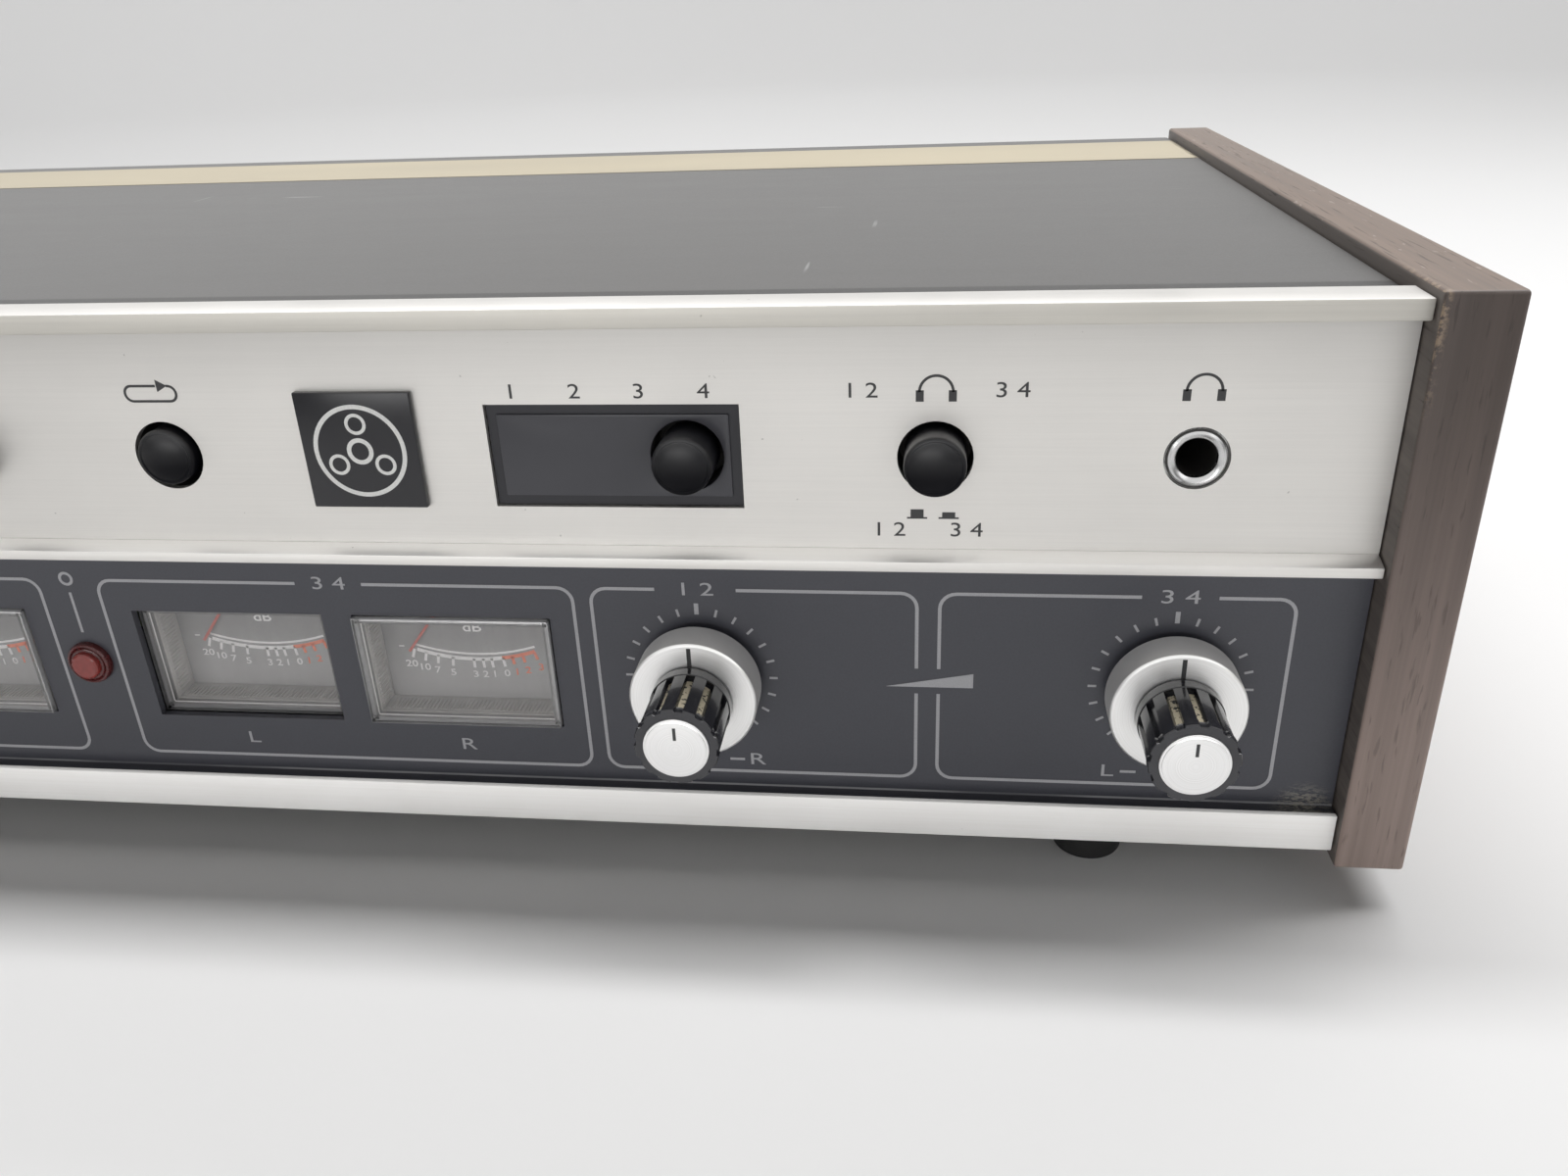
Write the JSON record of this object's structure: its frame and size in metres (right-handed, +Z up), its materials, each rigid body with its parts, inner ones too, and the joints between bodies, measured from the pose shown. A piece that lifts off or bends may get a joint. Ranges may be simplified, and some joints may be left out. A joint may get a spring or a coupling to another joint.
{
  "type": "cartridge tape recorder",
  "caption": "Wide, low cartridge tape recorder with wood-grain ends, concentric volume knobs, level meters, push buttons and a front cartridge slot.",
  "frame": {"origin": "on the ground below the middle of the whole outline, knobs included", "axes": "+X to the right seen from the front, +Y to the rear, +Z up"},
  "size_m": [0.48, 0.2604, 0.1114],
  "materials": {
    "wood_vinyl": "satin wood-grain vinyl",
    "cover_paint": "satin dark grey paint",
    "chassis_steel": "zinc plated",
    "rear_paint": "satin dark grey paint",
    "trim_aluminium": "satin anodised",
    "upper_aluminium": "horizontally brushed, anodised",
    "lower_paint": "satin black with light grey print",
    "foot_rubber": "moulded",
    "screw_steel": "plated",
    "badge_black": "gloss black",
    "smoked_plastic": "smoked, gloss",
    "jack_metal": "plated",
    "red_lens": "moulded red lens",
    "clear_plastic": "clear moulded plastic",
    "case_black": "moulded",
    "dial_print": "printed grey dial",
    "needle_red": "red paint",
    "ring_aluminium": "turned, bright chamfer",
    "knob_black": "moulded, fluted, metal end disc",
    "shaft_metal": "turned",
    "plated_steel": "plated",
    "button_black": "moulded, domed",
    "housing_plastic": "moulded",
    "door_plastic": "moulded",
    "wheel_metal": "turned",
    "bronze": "sintered bronze",
    "motor_paint": "grey paint",
    "pulley_brass": "turned",
    "belt_rubber": "flat ground belt",
    "carriage_metal": "die cast",
    "head_metal": "polished",
    "cam_nylon": "moulded nylon",
    "core_iron": "varnished laminations",
    "board_laminate": "phenolic board with fitted parts",
    "inlet_black": "moulded"
  },
  "bodies": {
    "chassis": {"end_panel_left": "wood_vinyl", "end_panel_right": "wood_vinyl", "top_cover": "cover_paint", "base_plate": "chassis_steel", "rear_panel": "rear_paint", "upper_fascia": "upper_aluminium", "lower_fascia": "lower_paint", "top_bar": "trim_aluminium", "middle_bar": "trim_aluminium", "bottom_bar": "trim_aluminium", "feet": "foot_rubber", "screws": "screw_steel", "badge_plate": "badge_black", "selector_window": "smoked_plastic", "jacks": "jack_metal", "record_lamp": "red_lens", "program_lamps": "red_lens", "meter_covers": "clear_plastic", "meter_cases": "case_black", "meter_dials": "dial_print", "potentiometers": "plated_steel", "switch_housings": "housing_plastic", "door_pin": "plated_steel", "cartridge_tray": "plated_steel", "deck_plate": "plated_steel", "capstan_bearings": "bronze", "motor": "motor_paint", "drive_belt": "belt_rubber", "solenoid": "motor_paint", "transformer": "core_iron", "amplifier_board": "board_laminate", "line_sockets": "jack_metal", "power_inlet": "inlet_black"},
    "ring_front": {"volume_ring_front": "ring_aluminium", "sleeve_shaft_front": "shaft_metal"},
    "ring_rear": {"volume_ring_rear": "ring_aluminium", "sleeve_shaft_rear": "shaft_metal"},
    "knob_front": {"volume_knob_front": "knob_black", "inner_shaft_front": "shaft_metal"},
    "knob_rear": {"volume_knob_rear": "knob_black", "inner_shaft_rear": "shaft_metal"},
    "headphone_button": {"button_headphone": "button_black"},
    "channels_button": {"button_channels": "button_black"},
    "repeat_button": {"button_repeat": "button_black"},
    "forward_button": {"button_forward": "button_black"},
    "program_button": {"button_program": "button_black"},
    "record_button": {"button_record": "button_black"},
    "power_button": {"button_power": "button_black"},
    "pointer_front_left": {"needle_front_left": "needle_red"},
    "pointer_front_right": {"needle_front_right": "needle_red"},
    "pointer_rear_left": {"needle_rear_left": "needle_red"},
    "pointer_rear_right": {"needle_rear_right": "needle_red"},
    "door": {"cartridge_door": "door_plastic"},
    "capstan_wheel": {"flywheel": "wheel_metal", "capstan": "plated_steel"},
    "motor_rotor": {"motor_pulley": "pulley_brass"},
    "program_wheel": {"program_cam": "cam_nylon"},
    "head_block": {"head_carriage": "carriage_metal", "tape_head": "head_metal"},
    "solenoid_core": {"plunger": "plated_steel"}
  },
  "joints": [
    {"name": "ring_front_turn", "type": "hinge", "parent": "chassis", "child": "ring_front", "pos_m": [0.113, -0.11445, 0.0411], "axis": [0, 1, 0], "range_deg": [-150, 150]},
    {"name": "knob_front_turn", "type": "hinge", "parent": "chassis", "child": "knob_front", "pos_m": [0.113, -0.11445, 0.0411], "axis": [0, 1, 0], "range_deg": [-150, 150]},
    {"name": "ring_rear_turn", "type": "hinge", "parent": "chassis", "child": "ring_rear", "pos_m": [0.1969, -0.11445, 0.0411], "axis": [0, 1, 0], "range_deg": [-150, 150]},
    {"name": "knob_rear_turn", "type": "hinge", "parent": "chassis", "child": "knob_rear", "pos_m": [0.1969, -0.11445, 0.0411], "axis": [0, 1, 0], "range_deg": [-150, 150]},
    {"name": "headphone_press", "type": "slide", "parent": "chassis", "child": "headphone_button", "axis": [0, 1, 0], "range_m": [0, 0.0038]},
    {"name": "channels_press", "type": "slide", "parent": "chassis", "child": "channels_button", "axis": [0, 1, 0], "range_m": [0, 0.0038]},
    {"name": "repeat_press", "type": "slide", "parent": "chassis", "child": "repeat_button", "axis": [0, 1, 0], "range_m": [-0.0038, 0]},
    {"name": "forward_press", "type": "slide", "parent": "chassis", "child": "forward_button", "axis": [0, 1, 0], "range_m": [0, 0.0038], "stiffness_N_per_m": 300},
    {"name": "program_press", "type": "slide", "parent": "chassis", "child": "program_button", "axis": [0, 1, 0], "range_m": [0, 0.0038], "stiffness_N_per_m": 300},
    {"name": "record_press", "type": "slide", "parent": "chassis", "child": "record_button", "axis": [0, 1, 0], "range_m": [0, 0.0038]},
    {"name": "power_press", "type": "slide", "parent": "chassis", "child": "power_button", "axis": [0, 1, 0], "range_m": [0, 0.0038]},
    {"name": "pointer_front_left_swing", "type": "hinge", "parent": "chassis", "child": "pointer_front_left", "pos_m": [-0.0831, -0.09905, 0.057], "axis": [0, -1, 0], "range_deg": [0, 76], "stiffness_Nm_per_rad": 0.0001},
    {"name": "pointer_front_right_swing", "type": "hinge", "parent": "chassis", "child": "pointer_front_right", "pos_m": [-0.0388, -0.09905, 0.057], "axis": [0, -1, 0], "range_deg": [0, 76], "stiffness_Nm_per_rad": 0.0001},
    {"name": "pointer_rear_left_swing", "type": "hinge", "parent": "chassis", "child": "pointer_rear_left", "pos_m": [0.022, -0.09645, 0.057], "axis": [0, -1, 0], "range_deg": [0, 76], "stiffness_Nm_per_rad": 0.0001},
    {"name": "pointer_rear_right_swing", "type": "hinge", "parent": "chassis", "child": "pointer_rear_right", "pos_m": [0.0663, -0.09905, 0.057], "axis": [0, -1, 0], "range_deg": [0, 76], "stiffness_Nm_per_rad": 0.0001},
    {"name": "door_swing", "type": "hinge", "parent": "chassis", "child": "door", "pos_m": [-0.1645, -0.10215, 0.1002], "axis": [1, 0, 0], "range_deg": [0, 90], "stiffness_Nm_per_rad": 0.004},
    {"name": "flywheel_spin", "type": "hinge", "parent": "chassis", "child": "capstan_wheel", "pos_m": [-0.1485, -0.01045, 0.05], "axis": [0, 0, 1], "continuous": true},
    {"name": "motor_spin", "type": "hinge", "parent": "chassis", "child": "motor_rotor", "pos_m": [-0.1925, 0.04455, 0.05], "axis": [0, 0, 1], "continuous": true},
    {"name": "cam_turn", "type": "hinge", "parent": "chassis", "child": "program_wheel", "pos_m": [-0.1765, 0.02005, 0.0776], "axis": [0, 0, 1], "range_deg": [0, 270]},
    {"name": "head_lift", "type": "slide", "parent": "chassis", "child": "head_block", "axis": [0, 0, 1], "range_m": [0, 0.00245]},
    {"name": "plunger_pull", "type": "slide", "parent": "chassis", "child": "solenoid_core", "axis": [0, 1, 0], "range_m": [0, 0.005], "stiffness_N_per_m": 150}
  ],
  "couplings": [
    {"joint": "motor_spin", "follows": "flywheel_spin", "ratio": 5.2308},
    {"joint": "head_lift", "follows": "cam_turn", "m_per_rad": 0.0005093}
  ]
}
